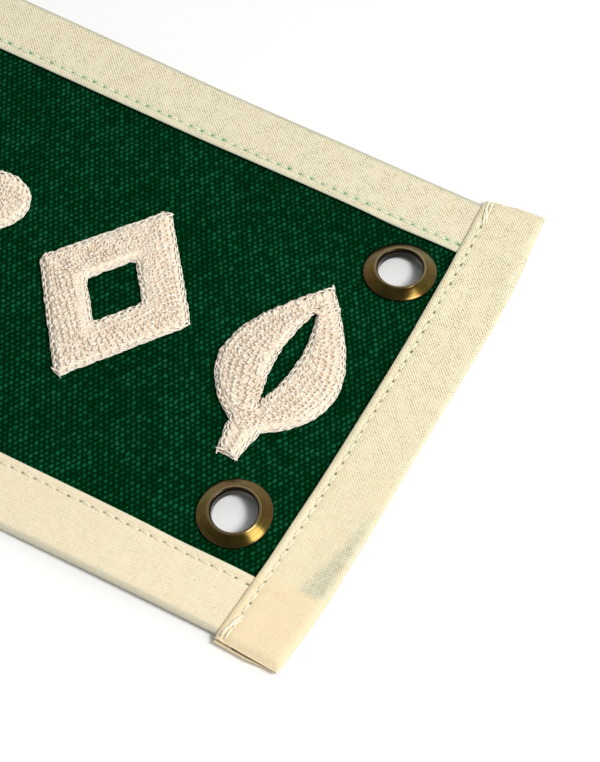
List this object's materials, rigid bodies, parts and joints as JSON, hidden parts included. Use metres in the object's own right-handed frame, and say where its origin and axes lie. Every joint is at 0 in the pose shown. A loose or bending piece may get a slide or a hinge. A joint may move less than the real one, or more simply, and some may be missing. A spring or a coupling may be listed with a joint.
{
  "type": "embroidered canvas banner",
  "caption": "Rectangular canvas banner with folded canvas binding, a row of raised chain-stitched figures and a brass eyelet in each corner for hanging.",
  "frame": {"origin": "bottom centre of the bounding box, on the surface that the banner lies on", "axes": "+X along the length, +Y towards the top edge, +Z out of the embroidered face"},
  "size_m": [0.5348, 0.1858, 0.0086],
  "materials": {
    "field": "matte cotton duck",
    "binding": "matte unbleached canvas",
    "embroidery": "soft chain-stitched yarn",
    "eyelet": "antique, brushed"
  },
  "bodies": {
    "root": {"field": "field", "binding_top": "binding", "binding_bottom": "binding", "binding_left": "binding", "binding_right": "binding", "eyelet_left_top": "eyelet", "eyelet_left_bottom": "eyelet", "eyelet_right_top": "eyelet", "eyelet_right_bottom": "eyelet", "motif_star": "embroidery", "motif_flower_left": "embroidery", "motif_flower_right": "embroidery", "motif_diamond_left": "embroidery", "motif_diamond_right": "embroidery", "motif_leaf_left": "embroidery", "motif_leaf_right": "embroidery"}
  },
  "joints": []
}
